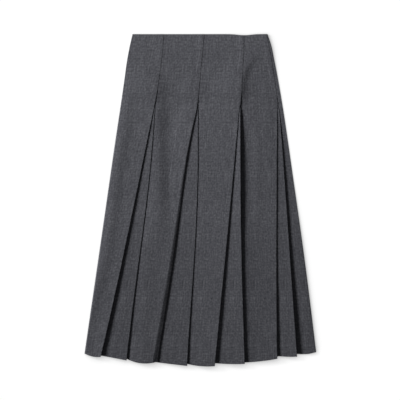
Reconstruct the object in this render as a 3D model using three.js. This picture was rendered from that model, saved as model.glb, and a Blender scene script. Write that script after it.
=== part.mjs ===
// A pleated midi skirt, laid flat with its back on the table. Millimetres: X runs across the
// skirt, Y runs up to the waist edge and Z is up from the table.
//
// Eight gores go round the body. Each seam between two gores is sewn from the waist to the hip
// and opens there into a pair of knife folds with a pleat insert between them. Every fold is the
// same: the cloth turns under at the fold edge, runs back for the fold's depth and meets the
// next piece. Laid flat, the layers lie on each other, and their heights are worked out by
// settling them one after the other, from the table up.
import * as THREE from 'three';

// The cloth
const WALL = 1.0; // thickness of every piece
const SEAM_GAP = 0.3; // between two pieces that are sewn together
const PITCH = 1.5; // from the middle of one layer to the middle of the next
const CLOTH_COLOUR = 0x4c4d52;
const CLOTH_ROUGHNESS = 0.95;

// The skirt's length, from the waist edge to the lowest point of the hem, and its tables.
// "down" is the distance below the waist edge, "across" the place on X.
const LENGTH = 884;
const OUTLINE = [
  { down: 0, left: -180, right: 180 },
  { down: 30, left: -187, right: 190 },
  { down: 70, left: -195, right: 199 },
  { down: 150, left: -206, right: 214 },
  { down: 230, left: -218, right: 227 },
  { down: 440, left: -248, right: 257 },
  { down: 660, left: -279, right: 286 },
  { down: LENGTH, left: -313, right: 314 },
];

// Where each seam of the front runs, and where its stitches end
const SEAMS = [
  { pleat: 'a', waist: -97, end: -120, endDown: 184, bow: 3 },
  { pleat: 'b', waist: 11, end: -6.5, endDown: 186, bow: 0 },
  { pleat: 'c', waist: 117, end: 107, endDown: 184, bow: 2 },
  { pleat: 'd', waist: 177.5, end: 208, endDown: 189, bow: 2 },
];

// The two folds below each seam: where the fold edge meets the hem, how far its middle bows
// to the right of a straight line, and how far the cloth turns under it
const FOLDS = [
  { pleat: 'a', hem: -265, hemDown: 859.5, bow: 1.5, depth: 36 },
  { pleat: 'a', hem: -197, hemDown: 869, bow: 4.5, depth: 40 },
  { pleat: 'b', hem: -112, hemDown: 872.5, bow: -3, depth: 40 },
  { pleat: 'b', hem: -36, hemDown: 883.5, bow: 8, depth: 40 },
  { pleat: 'c', hem: 39.5, hemDown: 884, bow: 0, depth: 40 },
  { pleat: 'c', hem: 119, hemDown: 878, bow: -5, depth: 40 },
  { pleat: 'd', hem: 206, hemDown: 864.5, bow: -1.5, depth: 40 },
  { pleat: 'd', hem: 257, hemDown: 859, bow: 1, depth: 40 },
];

// The hem of each strip that shows between two folds: its height where the strip comes out from
// under its neighbour, and how far its middle hangs below the line between its two ends
const HEMS = [
  { strip: 'gore_1', start: 852, sag: 3 },
  { strip: 'insert_a', start: 854.5, sag: 0.5 },
  { strip: 'gore_2', start: 865, sag: 8 },
  { strip: 'insert_b', start: 873, sag: 0.5 },
  { strip: 'gore_3', start: 878.5, sag: 3 },
  { strip: 'insert_c', start: 876.5, sag: 3 },
  { strip: 'gore_4', start: 873, sag: 2 },
  { strip: 'insert_d', start: 857.5, sag: 3 },
  { strip: 'gore_5', start: 852, sag: 2.5 },
];
const OUTLINE_HEM = { left: 852, right: 847.5 };
const BACK_HEM_RISE = 5; // the back's hem stays out of sight behind the front's
const HIDDEN_HEM_RISE = 3; // and the hidden end of a fold hangs a little shorter than its edge

// Above the end of the stitches the hidden layers have a slanted top edge
const TOP_SLANT = 0.85; // rise for each mm away from the fold edge

// How the layers settle: a grid over the skirt, the steepest rise of a layer lying over an edge,
// and how far an edge carries what lies on it
const GRID = { left: -324, step: 4, columns: 163, rows: 224 };
const LAYER_SLOPE = 0.13;
const SHEET_SLOPE = 0.22;
const EDGE_REACH = { across: 4, down: 3 };
const INSIDE = 0.999; // keeps a place at the grid's last line within its last cell

// The mesh: rows as shares of the way from the waist edge to the end of the stitches, then
// from there to the hem, and cells across each stretch
const UPPER_ROWS = [0, 0.3, 0.6, 0.84, 0.955];
const LOWER_ROWS = [0, 0.07, 0.18, 0.32, 0.46, 0.6, 0.74, 0.88, 1];
const STITCH_ROW = UPPER_ROWS.length;
const ROWS = UPPER_ROWS.length + LOWER_ROWS.length;
const CELLS = { panel: 5, halfPanel: 3, extension: 2, insert: 4, run: 2, turn: 3 };

const FRONT = 1;
const BACK = -1;
const clamp = THREE.MathUtils.clamp;
const mix = THREE.MathUtils.lerp;
const bend = (share) => 4 * share * (1 - share);

// ---- Lines on the skirt -------------------------------------------------------------------

function outlineAt(down, edge) {
  const last = OUTLINE.findIndex((row) => row.down >= Math.min(down, LENGTH));
  const [above, below] = [OUTLINE[Math.max(last - 1, 0)], OUTLINE[Math.max(last, 1)]];
  return mix(above[edge], below[edge], (down - above.down) / (below.down - above.down));
}

// The back is the front turned half round about the skirt's middle line
const onSide = (side, across, down) =>
  side === FRONT ? across : outlineAt(down, 'left') + outlineAt(down, 'right') - across;

const hemRise = (side) => (side === BACK ? BACK_HEM_RISE : 0);

// A pleat is a seam and the two folds that open below it
function makePleat(seam, side) {
  const seamLine = (down) => {
    const share = down / seam.endDown;
    return onSide(side, mix(seam.waist, seam.end, share) + seam.bow * bend(share), down);
  };
  const folds = FOLDS.filter((fold) => fold.pleat === seam.pleat).map((fold) => {
    const line = (down) => {
      const share = (down - seam.endDown) / (fold.hemDown - seam.endDown);
      if (share < 0) return seamLine(down);
      return onSide(side, mix(seam.end, fold.hem, share) + fold.bow * bend(share), down);
    };
    const inner = (down) => line(down) - side * fold.depth;
    const innerTop = seam.endDown - TOP_SLANT * fold.depth;
    return { line, inner, innerTop, hem: fold.hemDown - hemRise(side) };
  });
  return { side, seamLine, folds, end: seam.endDown };
}

// ---- The layers, in the order of the cloth round one side -----------------------------------

// The stretch across that a hidden layer covers, or none above its slanted top edge
function hiddenSpans(pleat, fold, edge, down) {
  if (down >= pleat.end) return [[fold.inner(down), edge(down)]];
  if (down <= fold.innerTop) return [];
  const slanted = pleat.seamLine(down) - (pleat.side * (pleat.end - down)) / TOP_SLANT;
  return [[fold.inner(down), slanted]];
}

// A gore starts under the second fold of the pleat before it and ends at the first fold of the
// pleat after it, or at the outline
function goreSpans(before, after, side, down) {
  const [startEdge, finishEdge] = side === FRONT ? ['left', 'right'] : ['right', 'left'];
  const finish = after ? after.folds[0].line(down) : outlineAt(down, finishEdge);
  if (!before) return [[outlineAt(down, startEdge), finish]];
  const fold = before.folds[1];
  if (down >= before.end) return [[fold.inner(down), finish]];
  return [[before.seamLine(down), finish], ...hiddenSpans(before, fold, fold.line, down)];
}

const PLEAT_LAYERS = 4; // from one gore's layer to the next gore's

function sideLayers(side, pleats) {
  const layers = [];
  for (let index = 0; index <= pleats.length; index += 1) {
    const [before, after] = [pleats[index - 1], pleats[index]];
    layers.push({ spans: (down) => goreSpans(before, after, side, down) });
    if (!after) continue;
    const [first, second] = after.folds;
    layers.push({ spans: (down) => hiddenSpans(after, first, first.line, down) });
    layers.push({ spans: (down) => hiddenSpans(after, first, second.line, down) });
    layers.push({ spans: (down) => hiddenSpans(after, second, second.line, down) });
  }
  return layers;
}

// ---- Settling: the height of each layer over the grid ---------------------------------------

const gridIndex = (row, column) => row * GRID.columns + column;

// Calls visit with the grid indices of each line of the grid, across it or down it
function eachGridLine(down, visit) {
  const [lines, length] = down ? [GRID.columns, GRID.rows] : [GRID.rows, GRID.columns];
  for (let line = 0; line < lines; line += 1) {
    const indexAt = (place) => (down ? gridIndex(place, line) : gridIndex(line, place));
    visit(Array.from({ length }, (_, place) => indexAt(place)));
  }
}

// Each height spreads sideways over the reach
function widened(heights, reach) {
  let result = heights;
  for (const [down, count] of [[false, reach.across], [true, reach.down]]) {
    const source = result;
    result = Float64Array.from(source);
    eachGridLine(down, (line) => line.forEach((index, place) => {
      const near = line.slice(Math.max(place - count, 0), place + count + 1);
      result[index] = Math.max(...near.map((neighbour) => source[neighbour]));
    }));
  }
  return result;
}

// Nothing falls away faster than the slope
function eased(heights, slope) {
  const result = Float64Array.from(heights);
  const drop = slope * GRID.step;
  const sweep = (line) => line.slice(1).forEach((index, place) => {
    result[index] = Math.max(result[index], result[line[place]] - drop);
  });
  for (const down of [false, true]) {
    eachGridLine(down, (line) => {
      sweep(line);
      sweep([...line].reverse());
    });
  }
  return result;
}

// Lays a layer on the pile, and keeps the heights that its middle has over the whole grid
function layOn(pile, layer) {
  layer.heights = eased(widened(pile, EDGE_REACH), LAYER_SLOPE).map((height) => height + PITCH);
  for (let row = 0; row < GRID.rows; row += 1) {
    for (const span of layer.spans(row * GRID.step)) {
      const first = Math.ceil((Math.min(...span) - GRID.left) / GRID.step);
      const last = Math.floor((Math.max(...span) - GRID.left) / GRID.step);
      for (let column = first; column <= last; column += 1) {
        pile[gridIndex(row, column)] = layer.heights[gridIndex(row, column)];
      }
    }
  }
}

// The back's layers go down in the order of the cloth and the front's in the opposite order,
// because the folds of both face the same way round the body
function settle(backLayers, frontLayers) {
  const pile = new Float64Array(GRID.rows * GRID.columns).fill(WALL / 2 - PITCH);
  [...backLayers, ...[...frontLayers].reverse()].forEach((layer) => layOn(pile, layer));
  return eased(pile, SHEET_SLOPE);
}

function heightAt(heights, across, down) {
  const column = clamp((across - GRID.left) / GRID.step, 0, GRID.columns - 2 + INSIDE);
  const row = clamp(down / GRID.step, 0, GRID.rows - 2 + INSIDE);
  const [c, r] = [Math.floor(column), Math.floor(row)];
  const upper = mix(heights[gridIndex(r, c)], heights[gridIndex(r, c + 1)], column - c);
  const lower = mix(heights[gridIndex(r + 1, c)], heights[gridIndex(r + 1, c + 1)], column - c);
  return mix(upper, lower, row - r);
}

// ---- Sections -----------------------------------------------------------------------------------
// A piece is a list of steps along the cloth: stretches, which lie in a layer, and turns, where
// the cloth folds back. Above the stitches all gores lie in one sheet, edge to edge.

const lieIn = (layer, sheet) => (across, down, row) =>
  row < STITCH_ROW ? sheet(across, down) : heightAt(layer.heights, across, down);

const rowDown = (row, { top, end, hem }) =>
  row < STITCH_ROW ? UPPER_ROWS[row] * end : mix(top, hem, LOWER_ROWS[row - STITCH_ROW]);

// A turn's line is its outermost edge, and "faces" is the side of X that it points to
function turnShape(turn, down, row) {
  const across = turn.line(down);
  const before = turn.before(across, down, row);
  const after = turn.after(across, down, row);
  const radius = Math.abs(before - after) / 2;
  const centre = across - turn.faces * (radius + WALL / 2);
  return { centre, middle: (before + after) / 2, radius, sign: Math.sign(before - after) };
}

function turnPoints(turn, row) {
  const down = rowDown(row, turn);
  const { centre, middle, radius, sign } = turnShape(turn, down, row);
  return Array.from({ length: CELLS.turn - 1 }, (_, index) => {
    const angle = Math.PI * (0.5 - (index + 1) / CELLS.turn);
    const across = centre + turn.faces * radius * Math.cos(angle);
    return [across, down, middle + sign * radius * Math.sin(angle)];
  });
}

// A stretch runs from one edge to another. An edge gives its place across at a distance down,
// its top, the end of the stitches beside it and its hem.
function stretchPoints({ from, to, cells, height, sag }, row) {
  return Array.from({ length: cells + 1 }, (_, cell) => {
    const share = cell / Math.max(cells, 1);
    const between = (key) => mix(from[key], to[key], share);
    const hem = between('hem') + sag * bend(share);
    const down = rowDown(row, { top: between('top'), end: between('end'), hem });
    const across = mix(from.across(down, row), to.across(down, row), share);
    return [across, down, height(across, down, row)];
  });
}

// One row of a piece: points along the cloth, or null where it has none
function pieceSection(steps, row) {
  const section = [];
  for (const step of steps) {
    const shows = row >= STITCH_ROW || step.aboveStitches;
    const makePoints = 'faces' in step ? turnPoints : stretchPoints;
    const points = shows ? makePoints(step, row) : makePoints(step, STITCH_ROW).fill(null);
    if (step.joined) {
      const shared = section.pop();
      points[0] = shared ?? points[0];
    }
    section.push(...points);
  }
  return section;
}

// ---- Solids -------------------------------------------------------------------------------------

// The wall's two faces stand half its thickness off the section, square to it
function wallPoints(section, column) {
  const point = section[column];
  const before = section[column - 1] ?? point;
  const after = section[column + 1] ?? point;
  const along = new THREE.Vector2(after[0] - before[0], after[2] - before[2]).normalize();
  if (before === point || after === point) along.set(Math.sign(along.x), 0);
  const [across, down, height] = point;
  const offset = new THREE.Vector2(-along.y, along.x).multiplyScalar(WALL / 2);
  const y = LENGTH / 2 - down;
  return [across + offset.x, y, height + offset.y, across - offset.x, y, height - offset.y];
}

// Closes a wall over the cells that hold cloth: its outer face, its inner face and its edges
function clothMesh(name, steps) {
  const sections = Array.from({ length: ROWS }, (_, row) => pieceSection(steps, row));
  const columns = sections[0].length;
  const positions = [];
  const corners = sections.map((section) => section.map((point, column) => {
    if (!point) return null;
    positions.push(...wallPoints(section, column));
    return positions.length / 3 - 2;
  }));
  const ringOf = (row, column) => [[0, 0], [1, 0], [1, 1], [0, 1]].map(
    ([below, beside]) => corners[row + below]?.[column + beside] ?? null,
  );
  const isCloth = (row, column) => ringOf(row, column).every((corner) => corner !== null);
  const triangles = [];
  const quad = (a, b, c, d) => triangles.push(a, b, c, a, c, d);
  for (let row = 0; row < ROWS - 1; row += 1) {
    for (let column = 0; column < columns - 1; column += 1) {
      if (!isCloth(row, column)) continue;
      const ring = ringOf(row, column);
      quad(...ring);
      quad(...ring.map((corner) => corner + 1).reverse());
      const neighbours = [[row, column - 1], [row + 1, column], [row, column + 1], [row - 1, column]];
      neighbours.forEach((neighbour, side) => {
        if (isCloth(...neighbour)) return;
        const [start, finish] = [ring[side], ring[(side + 1) % ring.length]];
        quad(finish, start, start + 1, finish + 1);
      });
    }
  }
  const geometry = new THREE.BufferGeometry();
  geometry.setAttribute('position', new THREE.Float32BufferAttribute(positions, 3));
  geometry.setIndex(triangles);
  geometry.computeVertexNormals();
  const cloth = new THREE.MeshStandardMaterial({ color: CLOTH_COLOUR, roughness: CLOTH_ROUGHNESS });
  const mesh = new THREE.Mesh(geometry, cloth);
  mesh.name = name;
  return mesh;
}

// ---- Edges --------------------------------------------------------------------------------------

// The two turns of a fold: its edge, and the inner one where the next piece is sewn on
function foldTurns(pleat, fold, over, under, next) {
  const faces = pleat.side;
  const { end } = pleat;
  const [before, between, after] = [over, under, next].map((layer) => lieIn(layer));
  const innerHem = fold.hem - HIDDEN_HEM_RISE;
  return {
    edge: { line: fold.line, faces, before, after: between, top: end, end, hem: fold.hem },
    inner: {
      line: fold.inner, faces: -faces, before: between, after, top: fold.innerTop, end, hem: innerHem,
    },
  };
}

// The end of a stretch at a turn, or beyond the seam gap where the next piece starts
const edgeAtTurn = (turn, gap = 0) => ({
  ...turn,
  across: (down, row) => turnShape(turn, down, row).centre - turn.faces * gap,
});

// The end of a gore at the first fold, with the seam above it
const edgeAtFold = (turn, pleat) => ({
  ...turn,
  across: (down, row) => row < STITCH_ROW
    ? pleat.seamLine(down) - (turn.faces * SEAM_GAP) / 2 : turnShape(turn, down, row).centre,
});

// Where a gore comes out from under the fold before it, with the seam above it
const emergingEdge = (pleat, hem) => ({
  top: pleat.end,
  end: pleat.end,
  hem,
  across: (down, row) => row < STITCH_ROW
    ? pleat.seamLine(down) + (pleat.side * SEAM_GAP) / 2 : pleat.folds[1].line(down),
});

// ---- Pieces -------------------------------------------------------------------------------------

// A fold's steps after the stretch that ends at it: its edge, the run back and the inner turn,
// which ends level with the next piece
function foldSteps({ edge, inner }) {
  const [from, to] = [edgeAtTurn(edge), edgeAtTurn(inner)];
  const run = { from, to, cells: CELLS.run, height: edge.after, sag: 0 };
  const stop = { from: to, to, cells: 0, height: inner.after, sag: 0 };
  return [edge, run, inner, stop];
}

// The steps of one side's gores and inserts. The first gore starts, and the last one ends, at an
// outline, where that edge is left open.
function sidePieces(side, pleats, layers, sheet) {
  const layersOf = (index) => layers.slice(PLEAT_LAYERS * index, PLEAT_LAYERS * (index + 1) + 1);
  const turns = pleats.map((pleat, index) => {
    const [gore, firstRun, insert, secondRun, nextGore] = layersOf(index);
    const [first, second] = pleat.folds;
    return [
      foldTurns(pleat, first, gore, firstRun, insert),
      foldTurns(pleat, second, insert, secondRun, nextGore),
    ];
  });
  const hemRow = (strip) => HEMS.find((row) => row.strip === strip);
  const gores = [];
  for (let index = 0; index <= pleats.length; index += 1) {
    const [before, after] = [pleats[index - 1], pleats[index]];
    const { start, sag } = hemRow(`gore_${index + 1}`);
    const height = lieIn(layersOf(index)[0], sheet);
    const steps = [];
    const from = before && emergingEdge(before, start - hemRise(side));
    if (before) {
      const hidden = edgeAtTurn(turns[index - 1][1].inner, SEAM_GAP);
      steps.push({ from: hidden, to: from, cells: CELLS.extension, height, sag: 0 });
    }
    const to = after && edgeAtFold(turns[index][0].edge, after);
    const cells = before && after ? CELLS.panel : CELLS.halfPanel;
    const joined = Boolean(before);
    steps.push({ from, to, cells, height, sag, joined, aboveStitches: true });
    if (after) steps.push(...foldSteps(turns[index][0]));
    gores.push(steps);
  }
  const inserts = turns.map(([first, second], index) => {
    const { sag } = hemRow(`insert_${'abcd'[index]}`);
    const from = edgeAtTurn(first.inner, SEAM_GAP);
    const to = edgeAtTurn(second.edge);
    return [{ from, to, cells: CELLS.insert, height: first.inner.after, sag }, ...foldSteps(second)];
  });
  return { gores, inserts };
}

// A gore that wraps an outline joins a stretch of one side to a stretch of the other
function wrappedGore(nearSteps, farSteps, edge) {
  const near = nearSteps.at(-1);
  const far = farSteps[0];
  const line = (down) => outlineAt(down, edge);
  const turnHeights = { before: near.height, after: far.height };
  const hem = OUTLINE_HEM[edge];
  const { end } = near.from;
  const faces = edge === 'right' ? 1 : -1;
  const turn = { line, faces, ...turnHeights, top: end, end, hem, aboveStitches: true };
  const place = edgeAtTurn(turn);
  const nearEnd = { ...near, to: place };
  const farStart = { ...far, from: place };
  return [...nearSteps.slice(0, -1), nearEnd, turn, farStart, ...farSteps.slice(1)];
}

// ---- The skirt ----------------------------------------------------------------------------------

const frontPleats = SEAMS.map((seam) => makePleat(seam, FRONT));
const backPleats = SEAMS.map((seam) => makePleat(seam, BACK));
const frontLayers = sideLayers(FRONT, frontPleats);
const backLayers = sideLayers(BACK, backPleats);
const sheetHeights = settle(backLayers, frontLayers);
const frontSheet = (across, down) => heightAt(sheetHeights, across, down);
const backSheet = () => WALL / 2;
const front = sidePieces(FRONT, frontPleats, frontLayers, frontSheet);
const back = sidePieces(BACK, backPleats, backLayers, backSheet);

const gorePieces = [
  wrappedGore(back.gores[4], front.gores[0], 'left'),
  ...front.gores.slice(1, 4),
  wrappedGore(front.gores[4], back.gores[0], 'right'),
  ...back.gores.slice(1, 4),
];

const skirt = new THREE.Group();
gorePieces.forEach((steps, index) => skirt.add(clothMesh(`gore_${index + 1}`, steps)));
[...front.inserts, ...back.inserts].forEach((steps, index) => {
  skirt.add(clothMesh(`pleat_insert_${'abcdefgh'[index]}`, steps));
});

export default skirt;
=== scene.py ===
import math
from functools import partial
from types import SimpleNamespace

import bpy
import numpy as np
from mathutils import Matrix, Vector


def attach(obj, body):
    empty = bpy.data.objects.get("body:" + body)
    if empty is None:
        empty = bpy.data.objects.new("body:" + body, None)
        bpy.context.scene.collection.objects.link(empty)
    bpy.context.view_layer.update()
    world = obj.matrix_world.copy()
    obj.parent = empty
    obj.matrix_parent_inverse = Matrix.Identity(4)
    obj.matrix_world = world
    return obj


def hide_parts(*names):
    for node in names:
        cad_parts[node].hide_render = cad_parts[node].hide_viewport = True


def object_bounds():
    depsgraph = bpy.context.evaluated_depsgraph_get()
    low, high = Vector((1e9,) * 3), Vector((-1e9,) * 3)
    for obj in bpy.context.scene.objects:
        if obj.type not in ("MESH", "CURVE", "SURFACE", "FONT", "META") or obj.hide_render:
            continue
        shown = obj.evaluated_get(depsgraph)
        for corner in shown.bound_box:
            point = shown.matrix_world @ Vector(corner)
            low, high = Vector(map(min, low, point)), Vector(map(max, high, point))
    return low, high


# A pleated midi skirt of dark grey melange wool, laid flat with its back on the table.
# Lengths are in millimetres until a mesh is made. "across" runs along X and "down" is the
# distance below the waist edge.

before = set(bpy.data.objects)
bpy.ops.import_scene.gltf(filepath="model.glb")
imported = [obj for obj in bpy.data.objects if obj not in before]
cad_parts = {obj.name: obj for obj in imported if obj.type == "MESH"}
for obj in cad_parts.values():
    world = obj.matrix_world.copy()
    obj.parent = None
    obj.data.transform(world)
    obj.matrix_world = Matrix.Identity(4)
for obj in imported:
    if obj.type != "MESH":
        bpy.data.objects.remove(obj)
cad_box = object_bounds()
MM = 0.001

# ---- The cloth ------------------------------------------------------------------------------

SHELL = 0.4  # thickness of the suiting
PITCH = 0.45  # from the middle of one layer to the middle of the next
PRESSED_PITCH = 0.16  # the same at the end of the stitches, where the pleat is pressed hard
PRESSED_LENGTH = 110.0  # and the layers loosen over this length
SEAM_GAP = 0.03  # between two pieces that are sewn together
HEM_DEPTH = 38.0  # the hem is turned up this far
HEM_STEP = 3.0  # over this length it gets thicker,
HEM_EXTRA = 0.12  # by this much, towards the inside
HEM_PARTS = SimpleNamespace(start=62.0, full=40.0)  # this high above the lowest hem, layers part

WAIST_Y = cad_box[1].y / MM
LENGTH = WAIST_Y - cad_box[0].y / MM


def table(columns, *rows):
    """A short table with named columns."""
    names = columns.split()
    return [SimpleNamespace(**dict(zip(names, row))) for row in rows]


OUTLINE = table(
    "down left right",
    (0, -180.0, 180.0),
    (29, -186.7, 189.6),
    (69, -194.4, 198.1),
    (109, -200.0, 206.1),
    (149, -205.6, 213.1),
    (202, -213.3, 221.9),
    (282, -225.3, 233.9),
    (389, -240.8, 249.2),
    (602, -271.5, 279.0),
    (842, -306.4, 308.8),
    (LENGTH, -312.5, 313.8),
)

# Where each seam of the front runs, and where its stitches end
SEAMS = table(
    "pleat waist end end_down bow",
    ("a", -97, -120, 184, 3),
    ("b", 11, -6.5, 186, 0),
    ("c", 117, 108.5, 184, 1.5),
    ("d", 177.5, 207.5, 185, 2),
)

# The two folds below each seam. The fold edge starts beside the end of the stitches and meets the
# hem at (hem, hem_down). Between them it bows to the right of a straight line, the most where the
# peak says, and the cloth turns under it for its depth. The edge stands off the cloth below by its
# lifts, at the places in LIFT_PLACES, and the strip of cloth rises evenly to that. A droop is the
# width, at the hem, of a slanted strip beside the edge: the cloth was pressed along its inner
# side, and falls from there to the edge. The strip widens evenly from the stitches down.
LIFT_PLACES = (0.0, 0.03, 0.1, 0.3, 0.6, 1.0)
OPENING = 18.0  # over this length below the stitches, the two edges of a pleat part
HUMP_GROWTH = 1.4  # the power by which the bow of a fold grows from the stitches
FOLDS = table(
    "pleat beside hem hem_down bow peak depth droop lifts",
    ("a", 0.5, -264.5, 859.5, 2.8, 0.65, 36, 0, (0, 0.2, 0.7, 1.6, 3.4, 5.6)),
    ("a", 1.5, -195.5, 869.0, 6.0, 0.33, 40, 0, (0, 0.0, 0.0, 0.2, 0.7, 2.7)),
    ("b", 1.0, -113.5, 872.5, -6.4, 0.22, 40, 12, (0, 0.9, 1.6, 2.9, 4.5, 6.2)),
    ("b", 2.0, -34.0, 883.5, 8.0, 0.42, 40, 0, (0, 0.0, 0.0, 0.1, 0.4, 2.5)),
    ("c", -2.5, 39.5, 884.0, 1.0, 0.3, 40, 0, (0, 0.0, 0.4, 1.4, 3.3, 4.9)),
    ("c", -1.0, 119.0, 878.0, -3.7, 0.5, 40, 0, (0, 2.1, 4.0, 5.4, 3.9, 4.2)),
    ("d", -1.2, 206.0, 864.5, -2.3, 0.6, 40, 0, (0, 0.0, 0.0, 0.4, 0.9, 3.8)),
    ("d", 3.0, 258.5, 859.0, 0.8, 0.25, 40, 0, (0, 0.0, 0.3, 1.4, 3.4, 6.2)),
)

# The hem of each strip that shows: its height where the strip comes out from under its
# neighbour, and how far its middle hangs below the line between its two ends
HEMS = table(
    "strip start sag",
    ("gore_1", 852.0, 3.0),
    ("insert_a", 856.5, -0.7),
    ("gore_2", 865.0, 8.0),
    ("insert_b", 874.6, 0.5),
    ("gore_3", 878.5, 3.0),
    ("insert_c", 876.5, 3.0),
    ("gore_4", 874.5, 1.7),
    ("insert_d", 857.5, 3.0),
    ("gore_5", 852.0, 2.5),
)
OUTLINE_HEM = {"left": 852.0, "right": 847.5}
BACK_HEM_RISE = 8.0  # the back's hem stays out of sight behind the front's
HIDDEN_HEM_RISE = 8.0  # and so does the end of the cloth that a fold turns under
TOP_SLANT = 0.85  # the hidden layers' top edge rises this much for each mm from the fold

# ---- Sampling -------------------------------------------------------------------------------

STEP = 2.0  # of the grid on which the layers settle
ACROSS = np.arange(-328.0, 330.0, STEP)
DOWN = np.arange(0.0, 900.0, STEP)
GRID_DOWN, GRID_ACROSS = np.meshgrid(DOWN, ACROSS, indexing="ij")
HIDDEN_FALL = 0.13  # how steeply a hidden layer comes down from an edge that it lies on
PANEL_FALL = 0.04  # and how steeply a panel does
SHORTEST_RISE = 24.0  # to a lifted fold edge

UPPER_ROWS = 34
LOWER_ROWS = 124
LOWER_CROWDING = 1.2  # the rows lie closer near the end of the stitches
CAP_TURNS = np.array([0.35, 0.62, 0.82, 0.95])  # rounding of the waist edge and the hem
FINE = np.array([0.0, 0.25, 0.7, 1.4, 2.4, 4.0])  # places of rows and columns beside an edge
CELLS = SimpleNamespace(panel=42, half_panel=18, extension=9, insert=24, run=9, turn=10)
PIECE_WIDTH = 110.0  # about that of a panel or an insert, to place the fine columns

FRONT, BACK = 1, -1


def mix(a, b, share):
    return a + (b - a) * share


def bend(share):
    return 4 * share * (1 - share)


def hump(share, peak):
    """Grows to 1 at the peak and falls back to nothing, gently at both ends."""
    fall = HUMP_GROWTH * (1 - peak) / peak
    ahead = np.clip(1 - share, 0, 1) / (1 - peak)
    return (share / peak) ** HUMP_GROWTH * ahead**fall


def smooth_step(start, finish, at):
    share = np.clip((at - start) / (finish - start), 0, 1)
    return share * share * (3 - 2 * share)


def smooth_line(places, values, at):
    """A smooth line through a few values."""
    places, values = np.asarray(places, float), np.asarray(values, float)
    slopes = np.gradient(values, places)
    at = np.clip(at, places[0], places[-1])
    index = np.clip(np.searchsorted(places, at) - 1, 0, len(places) - 2)
    width = places[index + 1] - places[index]
    t = (at - places[index]) / width
    start, finish = values[index], values[index + 1]
    lift_off, landing = slopes[index] * width, slopes[index + 1] * width
    cubic = 2 * start - 2 * finish + lift_off + landing
    square = -3 * start + 3 * finish - 2 * lift_off - landing
    return ((cubic * t + square) * t + lift_off) * t + start


def outline_at(edge, down):
    return smooth_line([row.down for row in OUTLINE], [getattr(row, edge) for row in OUTLINE], down)


def on_side(side, across, down):
    """The back is the front turned half round about the skirt's middle line."""
    if side == FRONT:
        return across
    return outline_at("left", down) + outline_at("right", down) - across


def hem_rise(side):
    return BACK_HEM_RISE if side == BACK else 0.0


# ---- Pleats ---------------------------------------------------------------------------------


def make_fold(fold, seam, seam_line, side):
    def share_of(down):
        return (down - seam.end_down) / (fold.hem_down - seam.end_down)

    def line(down):
        share = np.maximum(share_of(down), 0)
        start = seam.end + fold.beside * smooth_step(0, OPENING, down - seam.end_down)
        below = mix(start, fold.hem, share) + fold.bow * hump(share, fold.peak)
        return np.where(down < seam.end_down, seam_line(down), on_side(side, below, down))

    def lift(down):
        if side == BACK:
            return 0.0 * down
        return smooth_line(LIFT_PLACES, fold.lifts, share_of(down)) * (share_of(down) > 0)

    return SimpleNamespace(
        line=line,
        depth=fold.depth,
        inner=lambda down: line(down) - side * fold.depth,
        inner_top=seam.end_down - TOP_SLANT * fold.depth,
        end=seam.end_down,
        hem=fold.hem_down - hem_rise(side),
        lift=lift,
        droop=lambda down: (side == FRONT) * fold.droop * share_of(down).clip(0, 1),
    )


def make_pleat(seam, side):
    def seam_line(down):
        share = down / seam.end_down
        return on_side(side, mix(seam.waist, seam.end, share) + seam.bow * bend(share), down)

    folds = [make_fold(fold, seam, seam_line, side) for fold in FOLDS if fold.pleat == seam.pleat]
    return SimpleNamespace(side=side, seam_line=seam_line, folds=folds, end=seam.end_down)


# ---- The layers, in the order of the cloth round one side -------------------------------------

PLEAT_LAYERS = 4  # a gore, the cloth that it turns under, an insert and the same of it
SHOWN_LAYERS = 2  # every second layer shows


def between(one, other):
    """Where the grid lies between two lines that run down the skirt."""
    return (GRID_ACROSS > np.minimum(one, other)) & (GRID_ACROSS < np.maximum(one, other))


def hidden_cover(pleat, fold, edge):
    down = GRID_DOWN
    slanted = pleat.seam_line(down) - pleat.side * (pleat.end - down) / TOP_SLANT
    below = (down >= pleat.end) & between(fold.inner(down), edge(down))
    beside = pleat.side * (slanted - fold.inner(down)) > 0
    above = (down < pleat.end) & beside & between(fold.inner(down), slanted)
    return below | above


def outlines(side):
    """The outlines at which the cloth of a side starts and finishes."""
    left, right = (partial(outline_at, edge) for edge in ("left", "right"))
    return (left, right) if side == FRONT else (right, left)


def gore_cover(before, after, side):
    first, last = outlines(side)
    finish = after.folds[0].line(GRID_DOWN) if after else last(GRID_DOWN)
    if not before:
        return between(first(GRID_DOWN), finish)
    start = before.seam_line(GRID_DOWN)
    fold = before.folds[1]
    panel = between(np.where(GRID_DOWN < before.end, start, fold.line(GRID_DOWN)), finish)
    return panel | hidden_cover(before, fold, fold.line)


def rise_to_fold(fold, start, side, height):
    """How a strip of cloth rises from its start to the height that its fold edge has."""
    line = fold.line(GRID_DOWN)
    width = np.maximum(side * (line - start(GRID_DOWN)), SHORTEST_RISE)
    share = np.clip(1 - side * (line - GRID_ACROSS) / width, 0, 1)
    return height(GRID_DOWN) * share


FOLD_RADIUS = 0.32  # of a pressed edge, at the middle of the cloth
CURL = 0.25  # the cloth beside a pressed edge curls up by this much
CURL_WIDTH = 12.0
DROOP_SLOPE = 0.4


def make_layer(cover, rise=0.0, fall=PANEL_FALL, under_panel=False):
    return SimpleNamespace(cover=cover, rise=rise, fall=fall, under_panel=under_panel, heights=None)


def strip_drop(fold, side):
    away = side * (fold.line(GRID_DOWN) - GRID_ACROSS)
    return DROOP_SLOPE * np.clip(fold.droop(GRID_DOWN) - away, 0, None)


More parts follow.
